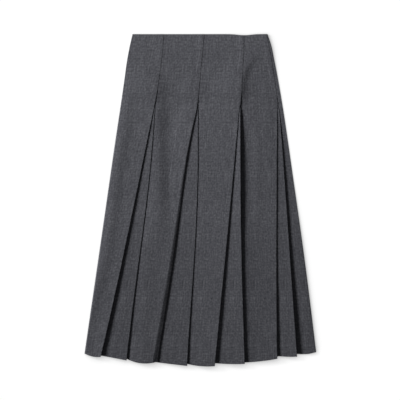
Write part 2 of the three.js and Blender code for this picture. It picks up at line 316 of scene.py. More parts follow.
def panel_rise(fold, start, side):
    def height(down):
        return fold.lift(down) + 2 * FOLD_RADIUS - PITCH

    away = side * (fold.line(GRID_DOWN) - GRID_ACROSS)
    near = np.clip(1 - away / CURL_WIDTH, 0, 1) * smooth_step(0, SHORTEST_RISE, GRID_DOWN - fold.end)
    return rise_to_fold(fold, start, side, height) + CURL * near**2 - strip_drop(fold, side)


def run_rise(fold, start, side):
    return rise_to_fold(fold, start, side, fold.lift) - strip_drop(fold, side)


def side_layers(side, pleats, reliefs):
    layers = []
    for before, after, relief in zip([None, *pleats], [*pleats, None], reliefs):
        cover = gore_cover(before, after, side)
        if not after:
            layers.append(make_layer(cover, relief))
            continue
        start = before.folds[1].line if before else outlines(side)[0]
        first, second = after.folds
        run_cover = hidden_cover(after, first, first.line)
        insert_cover = hidden_cover(after, first, second.line)
        second_cover = hidden_cover(after, second, second.line)
        layers += [
            make_layer(cover, relief + panel_rise(first, start, side)),
            make_layer(run_cover, run_rise(first, start, side), HIDDEN_FALL, under_panel=True),
            make_layer(insert_cover, panel_rise(second, first.inner, side)),
            make_layer(second_cover, run_rise(second, first.inner, side), HIDDEN_FALL, under_panel=True),
        ]
    return layers


# ---- Settling ---------------------------------------------------------------------------------

SMOOTHINGS = 3
BELOW = -1000.0  # stands for nothing to lie on
LAST_CELL = 1.001  # keeps a place inside the last cell of the grid


def fallen(heights, fall, axis):
    """Along one axis, no height lies further below its neighbour than the fall allows."""
    allowed = fall * STEP * np.arange(heights.shape[axis])
    allowed = allowed[:, None] if axis == 0 else allowed
    forward = np.maximum.accumulate(heights + allowed, axis) - allowed
    backward = np.flip(np.maximum.accumulate(np.flip(heights - allowed, axis), axis), axis) + allowed
    return np.maximum(forward, backward)


def with_neighbours(heights, combine):
    """Each height is combined with its neighbours, first down the grid and then across it."""
    for axis in (0, 1):
        size = heights.shape[axis]
        pads = [(1, 1) if axis == side else (0, 0) for side in (0, 1)]
        wide = np.pad(heights, pads, mode="edge")
        heights = combine([np.take(wide, range(shift, shift + size), axis) for shift in range(3)])
    return heights


def draped(heights, fall):
    """A soft surface that lies on the heights and comes down evenly from their edges."""
    lying = with_neighbours(fallen(fallen(heights, fall, 1), fall, 0), np.maximum.reduce)
    for _ in range(SMOOTHINGS):
        lying = with_neighbours(lying, lambda parts: np.mean(parts, axis=0))
    return lying


def settle(layers, pile, least):
    """Lays one layer after the other on the pile, none of them lower than the least height."""
    near_hem = smooth_step(LENGTH - HEM_PARTS.start, LENGTH - HEM_PARTS.full, GRID_DOWN)
    loose = smooth_step(SEAMS[0].end_down, SEAMS[0].end_down + PRESSED_LENGTH, GRID_DOWN)
    pitch = mix(PRESSED_PITCH, PITCH, loose) + HEM_EXTRA * near_hem
    for layer in layers:
        lying = draped(np.where(layer.cover, pile, BELOW), layer.fall) + pitch
        lying = np.maximum(lying, least)
        layer.heights = lying + layer.rise
        pile = np.where(layer.cover, lying if layer.under_panel else layer.heights, pile)
    return pile


def height_at(heights, across, down):
    column = np.clip((across - ACROSS[0]) / STEP, 0, len(ACROSS) - LAST_CELL)
    row = np.clip((down - DOWN[0]) / STEP, 0, len(DOWN) - LAST_CELL)
    c, r = column.astype(int), row.astype(int)
    upper = mix(heights[r, c], heights[r, c + 1], column - c)
    lower = mix(heights[r + 1, c], heights[r + 1, c + 1], column - c)
    return mix(upper, lower, row - r)


# ---- Soft creases -------------------------------------------------------------------------------

# Each runs through a few places across and down. It rises (or sinks) by its height over a width
# of its own on each side, and fades out towards both ends, between shares of its length.
FADE_IN = (-0.05, 0.3)
FADE_OUT = (1.05, 0.7)
FRONT_CREASES = table(
    "gore places left right height",
    (0, ((-170, 40), (-189, 149), (-226, 389), (-257, 602), (-286, 709), (-330, 1000)), 22, 19, 2.6),
    (1, ((-86, 20), (-60, 80), (-28, 137)), 9, 9, -0.3),
    (1, ((-132, 60), (-120, 242), (-115, 389), (-114, 500), (-124, 640)), 60, 27, 3.4),
    (1, ((-90, 120), (-78, 389), (-84, 540)), 24, 24, -1.6),
    (1, ((-145, 480), (-157, 709), (-165, 842), (-170, 1100)), 60, 32, 3.0),
    (3, ((157, 46), (124, 82), (116, 104), (109, 140), (106, 215)), 60, 12, 2.1),
    (3, ((105, 100), (106, 389), (108, 602), (113, 842), (117, 1100)), 14, 27, 1.9),
    (3, ((146, 150), (152, 389), (152, 580)), 13, 13, 0.8),
    (3, ((115, 450), (119, 842), (120, 1100)), 30, 70, 2.4),
    (4, ((170, -200), (180, 0), (192, 60), (200, 110)), 110, 20, 2.8),
    (4, ((249, 389), (279, 602), (309, 842), (345, 1100)), 32, 32, 2.4),
)
# Those of the back are soft ridges between the cloth and the table
BACK_CREASES = table(
    "gore places left right height",
    (1, ((118, 250), (136, 500), (152, 780)), 20, 27, 0.5),
    (2, ((12, 190), (-2, 420), (7, 660)), 17, 24, 0.4),
    (3, ((-124, 290), (-142, 560), (-158, 810)), 23, 18, 0.6),
)


def crease_relief(crease):
    """A ridge or trough along a smooth path, as a height over the grid."""
    across, down = np.array(crease.places, float).T
    middle = smooth_line(down, across, GRID_DOWN)
    run = (GRID_DOWN - down[0]) / (down[-1] - down[0])
    fade = smooth_step(*FADE_IN, run) * smooth_step(*FADE_OUT, run)
    away = GRID_ACROSS - middle
    width = np.where(away < 0, crease.left, crease.right)
    return crease.height * fade * np.exp(-((away / width) ** 2))


def gore_reliefs(creases):
    def relief(gore):
        return sum((crease_relief(crease) for crease in creases if crease.gore == gore), 0.0 * GRID_DOWN)

    return [relief(gore) for gore in range(len(SEAMS) + 1)]


def creased_sheet(pile, gore_layers, reliefs):
    """Above the stitches the gores lie in one sheet, and their creases run across the seams."""
    shown = sum(np.where(layer.cover, relief, 0) for layer, relief in zip(gore_layers, reliefs))
    return draped(pile - shown, PANEL_FALL) + sum(reliefs)


front_pleats = [make_pleat(seam, FRONT) for seam in SEAMS]
back_pleats = [make_pleat(seam, BACK) for seam in SEAMS]
front_reliefs = gore_reliefs(FRONT_CREASES)
back_reliefs = gore_reliefs(BACK_CREASES)
front_layers = side_layers(FRONT, front_pleats, front_reliefs)
back_layers = side_layers(BACK, back_pleats, back_reliefs)
table_level = np.full(GRID_DOWN.shape, SHELL / 2)
back_pile = settle(back_layers, table_level - PITCH, table_level)
back_sheet = table_level + sum(back_reliefs)
front_pile = settle(front_layers[::-1], back_pile, draped(back_pile, PANEL_FALL) + PITCH)
front_sheet = creased_sheet(front_pile, front_layers[::PLEAT_LAYERS], front_reliefs)

# ---- Sections of a piece --------------------------------------------------------------------
# A piece is a list of steps along the cloth: stretches, which lie in a layer, and turns, where
# the cloth folds back. Above the stitches all gores lie in one sheet, edge to edge. Every array
# has a row for each section and a column for each point along the cloth.

SEAM_DIP = 48.0  # over this length above the stitches' end, a gore sinks under the fold beside it
ALLOWANCE_RISE = 0.35  # a gore lies higher over the seam allowances, which are pressed under it
ALLOWANCE_WIDTH = 11.0
ALLOWANCE_EDGE = (1.2, 0.8)  # shares of the width between which the rise ends
WAIST_DIP = SimpleNamespace(across=118.0, width=24.0, depth=3.0, reach=60.0)


def fine_shares(count, length, crowding=1.0, at_start=True, at_finish=True):
    """Even shares of a length, with a few closer ones beside its ends."""
    fine = FINE / length
    shares = np.linspace(0, 1, count + 1) ** crowding
    start, finish = fine[-1] if at_start else 0, 1 - fine[-1] if at_finish else 1
    shares = mix(start, finish, shares)
    if at_start:
        shares = np.concatenate([fine[:-1], shares])
    if at_finish:
        shares = np.concatenate([shares, 1 - fine[:-1][::-1]])
    return shares


UPPER = fine_shares(UPPER_ROWS, SEAMS[0].end_down, at_finish=False)[:-1, None]
LOWER = fine_shares(LOWER_ROWS, LENGTH - SEAMS[0].end_down, LOWER_CROWDING, at_start=False)[:, None]


def rows_down(top, end, hem):
    return np.vstack([UPPER * end, mix(top, hem, LOWER)])


def lie_in(layer, sheet=None):
    def height(across, down, end):
        own = height_at(layer.heights, across, down)
        if sheet is None:
            return own
        return mix(own, height_at(sheet, across, down), smooth_step(0, SEAM_DIP, end - down))

    return height


def turn_shape(turn, down):
    across = turn.line(down)
    before = turn.before(across, down, turn.end)
    after = turn.after(across, down, turn.end)
    radius = (before - after) / 2
    centre = across - turn.faces * (np.abs(radius) + SHELL / 2)
    return centre, (before + after) / 2, radius


def turn_points(turn):
    down = rows_down(turn.top, turn.end, turn.hem)
    centre, middle, radius = turn_shape(turn, down)
    angle = np.pi * (0.5 - np.arange(1, CELLS.turn) / CELLS.turn)
    across = centre + turn.faces * np.abs(radius) * np.cos(angle)
    return np.stack([across, down + 0 * across, middle + radius * np.sin(angle)], axis=-1)


def over_allowances(edge, across, down):
    """How far the cloth rises beside a seam, above the end of its stitches."""
    away = np.abs(across - edge.across(down)) / ALLOWANCE_WIDTH
    beside = smooth_step(*ALLOWANCE_EDGE, away)
    return ALLOWANCE_RISE * beside * smooth_step(0, SEAM_DIP, edge.end - down)


def stretch_points(stretch):
    share = fine_shares(stretch.cells, PIECE_WIDTH)[None, :] if stretch.cells else np.zeros((1, 1))
    start, finish = stretch.start, stretch.finish
    top = mix(start.top, finish.top, share)
    end = mix(start.end, finish.end, share)
    hem = mix(start.hem, finish.hem, share) + stretch.sag * bend(share)
    down = rows_down(top, end, hem)
    across = mix(start.across(down), finish.across(down), share)
    height = stretch.height(across, down, end)
    if finish.sewn:
        height = height + over_allowances(finish, across, down)
    return np.stack([across, down, height], axis=-1)


def waist_dip(across, down):
    """The waist edge sags a little where the crease of the hip pulls at it."""
    sag = WAIST_DIP.depth * np.exp(-(((across - WAIST_DIP.across) / WAIST_DIP.width) ** 2))
    return sag * smooth_step(WAIST_DIP.reach, 0, down)


def piece_points(steps):
    """All points of a piece, with the share of each step's rows that hold cloth."""
    columns, shown = [], []
    for step in steps:
        points = turn_points(step) if hasattr(step, "faces") else stretch_points(step)
        above = np.full(points.shape[1], step.above_stitches)
        if step.joined:
            above[0] = above[0] or shown[-1][-1]
            if shown[-1][-1]:
                points[:, 0] = columns[-1][:, -1]
            columns[-1], shown[-1] = columns[-1][:, :-1], shown[-1][:-1]
        columns.append(points)
        shown.append(above)
    points, above = np.concatenate(columns, axis=1), np.concatenate(shown)
    points[..., 1] += waist_dip(points[..., 0], points[..., 1])
    present = np.ones(points.shape[:2], bool)
    present[: len(UPPER)] = above[None, :]
    return points, present


# ---- Edges ------------------------------------------------------------------------------------


def edge_at_turn(turn, gap=0.0):
    def across(down):
        return turn_shape(turn, down)[0] - turn.faces * gap

    return SimpleNamespace(top=turn.top, end=turn.end, hem=turn.hem, across=across, sewn=False)


def edge_at_fold(turn, pleat):
    def across(down):
        seam = pleat.seam_line(down) - turn.faces * SEAM_GAP / 2
        return np.where(down < pleat.end, seam, turn_shape(turn, down)[0])

    return SimpleNamespace(top=turn.top, end=turn.end, hem=turn.hem, across=across, sewn=True)


def emerging_edge(pleat, hem):
    def across(down):
        seam = pleat.seam_line(down) + pleat.side * SEAM_GAP / 2
        return np.where(down < pleat.end, seam, pleat.folds[1].line(down))

    return SimpleNamespace(top=pleat.end, end=pleat.end, hem=hem, across=across, sewn=True)


def make_stretch(start, finish, cells, height, sag=0.0, joined=False, above_stitches=False):
    return SimpleNamespace(
        start=start,
        finish=finish,
        cells=cells,
        height=height,
        sag=sag,
        joined=joined,
        above_stitches=above_stitches,
    )


def make_turn(line, faces, before, after, top, end, hem, above_stitches=False):
    return SimpleNamespace(
        line=line,
        faces=faces,
        before=before,
        after=after,
        top=top,
        end=end,
        hem=hem,
        joined=False,
        above_stitches=above_stitches,
    )


def fold_turns(pleat, fold, over, under, following):
    """The two turns of a fold: its edge, and the inner one where the next piece is sewn on."""
    before, run, after = lie_in(over), lie_in(under), lie_in(following)
    edge = make_turn(fold.line, pleat.side, before, run, pleat.end, pleat.end, fold.hem)
    inner_hem = fold.hem - HIDDEN_HEM_RISE
    inner = make_turn(fold.inner, -pleat.side, run, after, fold.inner_top, pleat.end, inner_hem)
    return SimpleNamespace(edge=edge, inner=inner)


def fold_steps(turns):
    start, finish = edge_at_turn(turns.edge), edge_at_turn(turns.inner)
    run = make_stretch(start, finish, CELLS.run, turns.edge.after)
    stop = make_stretch(finish, finish, 0, turns.inner.after)
    return [turns.edge, run, turns.inner, stop]


# ---- The pieces of one side ---------------------------------------------------------------------


def hidden_hem(first, second, row, side):
    """Where the hem of an insert starts out of sight, for it to come out where its row says."""
    strip = abs(second.line(second.hem) - first.line(first.hem))
    hidden = first.depth / (first.depth + strip)
    come_out = row.start - hem_rise(side) - row.sag * bend(hidden)
    return (come_out - hidden * second.hem) / (1 - hidden)


def side_pieces(side, pleats, layers, sheet):
    hem_row = {row.strip: row for row in HEMS}
    gore_layers = layers[::PLEAT_LAYERS]
    turns = []
    for index, pleat in enumerate(pleats):
        gore, first_run, insert, second_run = layers[PLEAT_LAYERS * index :][:PLEAT_LAYERS]
        next_gore = gore_layers[index + 1]
        first, second = pleat.folds
        first_turns = fold_turns(pleat, first, gore, first_run, insert)
        turns.append((first_turns, fold_turns(pleat, second, insert, second_run, next_gore)))
    gores = []
    for index in range(len(pleats) + 1):
        before = pleats[index - 1] if index else None
        after = pleats[index] if index < len(pleats) else None
        row = hem_row[f"gore_{index + 1}"]
        height = lie_in(gore_layers[index], sheet)
        steps = []
        start = before and emerging_edge(before, row.start - hem_rise(side))
        if before:
            hidden = edge_at_turn(turns[index - 1][1].inner, SEAM_GAP)
            steps.append(make_stretch(hidden, start, CELLS.extension, lie_in(gore_layers[index])))
        finish = after and edge_at_fold(turns[index][0].edge, after)
        cells = CELLS.panel if before and after else CELLS.half_panel
        joined = before is not None
        steps.append(make_stretch(start, finish, cells, height, row.sag, joined, above_stitches=True))
        if after:
            steps += fold_steps(turns[index][0])
        gores.append(steps)
    inserts = []
    for pleat, seam, (first_turns, second_turns) in zip(pleats, SEAMS, turns):
        row = hem_row[f"insert_{seam.pleat}"]
        start = edge_at_turn(first_turns.inner, SEAM_GAP)
        start.hem = hidden_hem(*pleat.folds, row, side)
        finish = edge_at_turn(second_turns.edge)
        top = make_stretch(start, finish, CELLS.insert, first_turns.inner.after, row.sag)
        inserts.append([top, *fold_steps(second_turns)])
    return gores, inserts


def wrapped_gore(near_steps, far_steps, edge):
    """A gore that wraps an outline joins a stretch of one side to a stretch of the other."""
    near, far = near_steps[-1], far_steps[0]
    end = near.start.end
    turn = make_turn(
        lambda down: outline_at(edge, down),
        1 if edge == "right" else -1,
        near.height,
        far.height,
        top=end,
        end=end,
        hem=OUTLINE_HEM[edge],
        above_stitches=True,
    )
    near.finish = far.start = edge_at_turn(turn)
    return [*near_steps, turn, *far_steps]


# ---- Meshes -------------------------------------------------------------------------------------

SHORTEST = 1e-9  # keeps a direction from being divided by nothing


def capped(values, along):
    """Repeats the first and last rows, for the rounded waist edge and hem."""
    count = len(CAP_TURNS)
    first = np.repeat(values[:1], count, axis=0)
    last = np.repeat(values[-1:], count, axis=0)
    if along is not None:
        shift = SHELL / 2 * CAP_TURNS
        first[..., along] -= shift[::-1, None]
        last[..., along] += shift[:, None]
    return np.concatenate([first, values, last])


def wall_faces(points, present):
    """The outer and inner face of the cloth, from its middle surface."""
    points, present = capped(points, along=1), capped(present, along=None)
    rows, columns = present.shape
    count = len(CAP_TURNS)
    across, down, height = np.moveaxis(points, -1, 0)
    follows = np.zeros_like(present)
    follows[:, 1:] = present[:, 1:] & present[:, :-1]
    leads = np.zeros_like(present)
    leads[:, :-1] = present[:, :-1] & present[:, 1:]
    column = np.arange(columns)
    before = np.where(follows, column - 1, column)
    after = np.where(leads, column + 1, column)
    row = np.arange(rows)[:, None]
    along_x = across[row, after] - across[row, before]
    along_z = height[row, after] - height[row, before]
    level = ~(follows & leads)
    along_z = np.where(level, 0, along_z)
    length = np.maximum(np.hypot(along_x, along_z), SHORTEST)
    thin = np.ones(rows)
    rounding = np.sqrt(1 - CAP_TURNS**2)
    thin[:count], thin[-count:] = rounding[::-1], rounding
    half = SHELL / 2 * thin[:, None]
    hem_line = down[-1 - count][None, :]
    turned = HEM_EXTRA * smooth_step(-HEM_DEPTH - HEM_STEP, -HEM_DEPTH, down - hem_line)
    normal = np.stack([-along_z / length, np.zeros_like(length), along_x / length], axis=-1)
    middle = np.stack([across, WAIST_Y - down, height], axis=-1)
    outer = middle + normal * half[..., None]
    inner = middle - normal * (half + turned * thin[:, None])[..., None]
    return outer, inner, present


def cell_sides(cloth):
    """For each side of a cell, the cells whose neighbour there holds no cloth."""
    padded = np.pad(cloth, 1)
    left, below = padded[1:-1, :-2], padded[2:, 1:-1]
    right, above = padded[1:-1, 2:], padded[:-2, 1:-1]
    return [cloth & ~neighbour for neighbour in (left, below, right, above)]


def cloth_mesh(name, steps):
    """A closed thin wall over the cells that hold cloth, with the cloth's own measures as UV."""
    points, present = piece_points(steps)
    outer, inner, present = wall_faces(points, present)
    number = np.full(present.shape, -1)
    number[present] = np.arange(present.sum())
    inner_start = int(present.sum())
    vertices = np.concatenate([outer[present], inner[present]]) * MM
    corners = [number[:-1, :-1], number[1:, :-1], number[1:, 1:], number[:-1, 1:]]
    cloth = np.all([corner >= 0 for corner in corners], axis=0)
    ring = np.stack([corner[cloth] for corner in corners], axis=-1)
    faces = [ring, ring[:, ::-1] + inner_start]
    for side, open_side in enumerate(cell_sides(cloth)):
        start, finish = corners[side][open_side], corners[(side + 1) % 4][open_side]
        faces.append(np.stack([finish, start, start + inner_start, finish + inner_start], axis=-1))
    mesh = bpy.data.meshes.new(name)
    mesh.from_pydata(vertices.tolist(), [], np.concatenate(faces).tolist())
    mesh.polygons.foreach_set("use_smooth", np.ones(len(mesh.polygons), bool))
    lay_out_cloth(mesh, outer, present)
    mesh.update()
    piece = bpy.data.objects.new(name, mesh)
    bpy.context.scene.collection.objects.link(piece)
    return piece, flat_size(mesh), cloth_area(outer, cloth)


def lay_out_cloth(mesh, outer, present):
    """The UV map holds each point's place on the flat cloth, in metres."""
    stepped = np.diff(outer, axis=1, prepend=outer[:, :1])
    stepped[~present] = 0
    width = np.cumsum(np.linalg.norm(stepped[..., [0, 2]], axis=-1), axis=1)
    middle = width[:, present[0] if present[0].any() else present[-1]].mean(axis=1, keepdims=True)
    place = np.stack([width - middle, outer[..., 1]], axis=-1)[present] * MM
    place = np.concatenate([place, place])
    corner = np.empty(len(mesh.loops), np.int32)
    mesh.loops.foreach_get("vertex_index", corner)
    layer = mesh.uv_layers.new(name="cloth")
    layer.data.foreach_set("uv", place[corner].ravel())


def flat_size(mesh):
    """Width and length of the cloth laid out flat, in metres."""
    places = np.empty(2 * len(mesh.loops))
    mesh.uv_layers["cloth"].data.foreach_get("uv", places)
    width, length = np.ptp(places.reshape(-1, 2), axis=0)
    return float(width), float(length)


def cloth_area(outer, cloth):
    """Area of the cloth in square metres."""
    across = outer[:-1, 1:] - outer[:-1, :-1]
    along = outer[1:, :-1] - outer[:-1, :-1]
    cells = np.linalg.norm(np.cross(across, along), axis=-1)
    return float(cells[cloth].sum()) * MM * MM


# ---- Shading ------------------------------------------------------------------------------------


class Shade:
    """A socket of a material, so that shader maths reads as arithmetic."""

    def __init__(self, recipe, socket):
        self.recipe, self.socket = recipe, socket

    def math(self, operation, *values):
        inputs = dict(enumerate(values))
        return self.recipe.node("ShaderNodeMath", inputs, operation=operation)

    def __add__(self, other):
        return self.math("ADD", self, other)

    def __radd__(self, other):
        return self.math("ADD", other, self)

    def __sub__(self, other):
        return self.math("SUBTRACT", self, other)

    def __rsub__(self, other):
        return self.math("SUBTRACT", other, self)

    def __mul__(self, other):
        return self.math("MULTIPLY", self, other)

    def __rmul__(self, other):
        return self.math("MULTIPLY", other, self)


class Recipe:
    """A material under construction."""

    def __init__(self, name):
        self.material = bpy.data.materials.new(name)
        self.material.use_nodes = True
        self.tree = self.material.node_tree
        self.tree.nodes.clear()

    def node(self, kind, inputs=None, output=0, stops=None, **settings):
        made = self.tree.nodes.new(kind)
        for name, value in settings.items():
            setattr(made, name, value)
        if stops:
            ramp = made.color_ramp
            while len(ramp.elements) < len(stops):
                ramp.elements.new(0.5)
            for element, (place, colour) in zip(ramp.elements, stops):
                element.position, element.color = place, (*colour, 1.0)
        for name, value in (inputs or {}).items():
            if isinstance(value, Shade):
                self.tree.links.new(value.socket, made.inputs[name])
            else:
                made.inputs[name].default_value = value
        return Shade(self, made.outputs[output]) if made.outputs else None

    def noise(self, place, stretch, detail):
        """Noise with a size of its own across and along the cloth."""
        scaled = self.node("ShaderNodeVectorMath", {0: place, 1: stretch}, operation="MULTIPLY")
        return self.node("ShaderNodeTexNoise", {"Vector": scaled, "Scale": 1.0, "Detail": detail})

    def finish(self, shader):
        self.node("ShaderNodeOutputMaterial", {"Surface": shader})
        return self.material


def per_metre(*sizes_mm):
    """How many features of these sizes fit in a metre, across, along and through the cloth."""
    return tuple(1000.0 / size for size in sizes_mm)


# The grain of the cloth: its size across and along in millimetres, and how much it adds to the
# cloth's tone and relief
WEAVE = table(
    "grain across along detail tone relief",
    ("warp", 3.0, 40.0, 1.0, 0.5, 0.5),
    ("weft", 30.0, 3.0, 1.0, 0.32, 0.5),
    ("flecks", 4.0, 5.5, 0.0, 0.55, 0.5),
    ("slubs", 12.0, 4.0, 1.0, 0.32, 0.0),
    ("cloud", 70.0, 90.0, 3.0, 0.2, 0.0),
)
WOOL_TONES = (
    (0.1, (0.026, 0.026, 0.031)),
    (0.5, (0.067, 0.068, 0.078)),
    (0.9, (0.128, 0.129, 0.141)),
)


def wool_cloth():
    """Dark grey melange suiting: light and dark fibres spun together, a close twill and a nap."""
    recipe = Recipe("wool_cloth")
    place = recipe.node("ShaderNodeUVMap", uv_map="cloth")
    grain = {
        row.grain: recipe.noise(place, per_metre(row.across, row.along, row.along), row.detail)
        for row in WEAVE
    }
    tone = sum(((grain[row.grain] - 0.5) * row.tone for row in WEAVE), 0.5)
    colour = recipe.node("ShaderNodeValToRGB", {"Fac": tone}, stops=WOOL_TONES)
    relief = sum(grain[row.grain] * row.relief for row in WEAVE if row.relief)
    bump = recipe.node("ShaderNodeBump", {"Height": relief, "Strength": 0.2, "Distance": 0.0004})
    rough = 0.86 + (grain["flecks"] - 0.5) * 0.16
    shader = recipe.node(
        "ShaderNodeBsdfPrincipled",
        {
            "Base Color": colour,
            "Roughness": rough,
            "Normal": bump,
            "Specular IOR Level": 0.22,
            "Sheen Weight": 0.06,
            "Sheen Roughness": 0.55,
            "Sheen Tint": (0.75, 0.78, 0.85, 1.0),
        },
    )
    return recipe.finish(shader)


def table_top():
    """A table that glows as painted light: its glow rises where the lamp's light falls off, and a
    painted shadow dims it round the skirt.
    """
    recipe = Recipe("painted_glow_table")
    # Painted light: the table glows though it is no lamp, sloped against the lamp's falloff.
    place = recipe.node("ShaderNodeTexCoord", output="Object")
    slope = {0: place, 1: (GLOW_ACROSS, GLOW_ALONG, 0.0)}
    change = recipe.node("ShaderNodeVectorMath", slope, output="Value", operation="DOT_PRODUCT")
    glow = recipe.node("ShaderNodeClamp", {"Value": TABLE_GLOW + change, "Max": BRIGHTEST_GLOW})
    # Painted shadow: ambient occlusion dims the table's glow where the skirt lies near it.
    facing = recipe.node("ShaderNodeCombineXYZ", dict(zip("XYZ", PAINTED_SHADOW_FACING)))
    reach = {"Distance": PAINTED_SHADOW_REACH, "Normal": facing}
    painted_contact_shadow = recipe.node("ShaderNodeAmbientOcclusion", reach, output="AO", samples=PAINTED_SHADOW_SAMPLES)
    shader = recipe.node(
        "ShaderNodeBsdfPrincipled",
        {
            "Base Color": TABLE_COLOUR,
            "Roughness": 0.9,
            "Specular IOR Level": 0.1,
            "Emission Color": glow * painted_contact_shadow,
            "Emission Strength": 1.0,
        },
    )
    return recipe.finish(shader)


def sewing_thread():
    """Dark polyester thread, its tone lighter and darker at random, in flecks about as small as its
    strands.
    """
    recipe = Recipe("sewing_thread")
    place = recipe.node("ShaderNodeTexCoord", output="Object")
    strands = recipe.noise(place, per_metre(0.4, 0.4, 0.4), detail=1.0)
    stops = ((0.3, (0.016, 0.016, 0.019)), (0.7, (0.045, 0.046, 0.052)))
    colour = recipe.node("ShaderNodeValToRGB", {"Fac": strands}, stops=stops)
    rough = 0.5 + strands * 0.2
    shader = recipe.node("ShaderNodeBsdfPrincipled", {"Base Color": colour, "Roughness": rough})
    return recipe.finish(shader)


# ---- Stitches -------------------------------------------------------------------------------------

THREAD = 0.24  # thickness
SUNK = 0.07  # the middle of a thread lies this far under the face of the cloth
SEAM_STITCH = SimpleNamespace(pitch=2.5, along=2.1, across=THREAD)
TACK_STITCH = SimpleNamespace(pitch=0.45, along=THREAD, across=2.2)
HEM_STITCH = SimpleNamespace(pitch=8.0, along=1.1, across=THREAD)
STITCH_LEAST, STITCH_MOST = 0.85, 1.1  # no two stitches have quite the same size
STITCH_SEED = 5
STITCH_SEGMENTS, STITCH_RINGS = 8, 5
PATH_STEP = 4.0
TACK_POINTS = 5
FIRST_STITCH = 3.0  # below the waist edge
HEM_STITCHES_RISE = 31.0  # above the hem
STRIP_MARGIN = 3.0

# A tack holds the end of each seam: from one place to the other, beside and above the end
TACKS = table(
    "pleat from_across from_up to_across to_up",
    ("a", -9.5, 25.5, -2.0, 19.0),
    ("b", -1.6, 1.5, 1.6, 1.5),
    ("c", -1.6, 1.5, 1.6, 1.5),
    ("d", -1.6, 1.5, 1.6, 1.5),
)


def stitching():
    """A node tree that sets stitches along a path."""
    tree = bpy.data.node_groups.new("stitches_along_a_path", "GeometryNodeTree")
    kinds = {"Pitch": "Float", "Stitch Size": "Vector", "Least": "Vector", "Most": "Vector"}
    kinds = {"Path": "Geometry", **kinds, "Seed": "Int", "Thread": "Material"}
    for name, kind in kinds.items():
        tree.interface.new_socket(name=name, in_out="INPUT", socket_type=f"NodeSocket{kind}")
    tree.interface.new_socket(name="Stitches", in_out="OUTPUT", socket_type="NodeSocketGeometry")
    given = tree.nodes.new("NodeGroupInput").outputs

    def node(kind, inputs, **settings):
        made = tree.nodes.new(kind)
        for name, value in settings.items():
            setattr(made, name, value)
        for name, value in inputs.items():
            if isinstance(value, bpy.types.NodeSocket):
                tree.links.new(value, made.inputs[name])
            else:
                made.inputs[name].default_value = value
        return made.outputs

    path = node("GeometryNodeMeshToCurve", {"Mesh": given["Path"]})
    spots = node("GeometryNodeCurveToPoints", {0: path[0], "Length": given["Pitch"]}, mode="LENGTH")
    round_off = {"Segments": STITCH_SEGMENTS, "Rings": STITCH_RINGS, "Radius": 0.5}
    ball = node("GeometryNodeMeshUVSphere", round_off)
    turned = node("FunctionNodeAlignRotationToVector", {"Vector": spots["Tangent"]}, axis="X")
    sizes = {0: given["Least"], 1: given["Most"], "Seed": given["Seed"]}
    uneven = node("FunctionNodeRandomValue", sizes, data_type="FLOAT_VECTOR")
    size = node("ShaderNodeVectorMath", {0: given["Stitch Size"], 1: uneven[0]}, operation="MULTIPLY")
    spread = {"Points": spots["Points"], "Instance": ball["Mesh"]}
    spread.update({"Rotation": turned[0], "Scale": size[0]})
    placed = node("GeometryNodeInstanceOnPoints", spread)
    real = node("GeometryNodeRealizeInstances", {"Geometry": placed[0]})
    smooth = node("GeometryNodeSetShadeSmooth", {"Geometry": real[0]})
    dyed = node("GeometryNodeSetMaterial", {"Geometry": smooth[0], "Material": given["Thread"]})
    node("NodeGroupOutput", {"Stitches": dyed[0]})
    return tree


def path_object(name, paths):
    """A mesh of open lines, from arrays of places across, down and up."""
    vertices, edges = [], []
    for across, down, up in paths:
        first = len(vertices)
        vertices += [(x * MM, (WAIST_Y - y) * MM, z * MM) for x, y, z in zip(across, down, up)]
        edges += [(index, index + 1) for index in range(first, len(vertices) - 1)]
    mesh = bpy.data.meshes.new(name)
    mesh.from_pydata(vertices, edges, [])
    holder = bpy.data.objects.new(name, mesh)
    bpy.context.scene.collection.objects.link(holder)
    return holder


def sewn(name, paths, stitch, tree, thread):
    """The stitches along the paths, as a plain mesh."""
    holder = path_object(name, paths)
    modifier = holder.modifiers.new("stitches", "NODES")
    modifier.node_group = tree
    values = {
        "Pitch": stitch.pitch * MM,
        "Stitch Size": (stitch.along * MM, stitch.across * MM, THREAD * MM),
        "Least": (STITCH_LEAST,) * 3,
        "Most": (STITCH_MOST,) * 3,
        "Seed": STITCH_SEED,
        "Thread": thread,
    }
    for socket in tree.interface.items_tree:
        if socket.name in values:
            modifier[socket.identifier] = values[socket.name]
    evaluated = holder.evaluated_get(bpy.context.evaluated_depsgraph_get())
    mesh = bpy.data.meshes.new_from_object(evaluated)
    holder.modifiers.remove(modifier)
    holder.data = mesh
    return holder


def on_face(side, height):
    return height + side * (SHELL / 2 - SUNK)


def seam_paths(one):
    paths = []
    for pleat, layer in zip(one.pleats, one.layers[::PLEAT_LAYERS]):
        down = np.arange(FIRST_STITCH, pleat.end, PATH_STEP)
        across = pleat.seam_line(down)
        height = lie_in(layer, one.sheet)(across, down, pleat.end)
        height = height + ALLOWANCE_RISE * smooth_step(0, SEAM_DIP, pleat.end - down)
        paths.append((across, down, on_face(one.side, height)))
    return paths


def tack_paths(one):
    paths = []
    for tack, pleat, layer in zip(TACKS, one.pleats, one.layers[::PLEAT_LAYERS]):
        share = np.linspace(0, 1, TACK_POINTS)
        across = pleat.seam_line(pleat.end) + mix(tack.from_across, tack.to_across, share)
        down = pleat.end - mix(tack.from_up, tack.to_up, share)
        height = lie_in(layer, one.sheet)(across, down, pleat.end)
        paths.append((across, down, on_face(one.side, height)))
    return paths


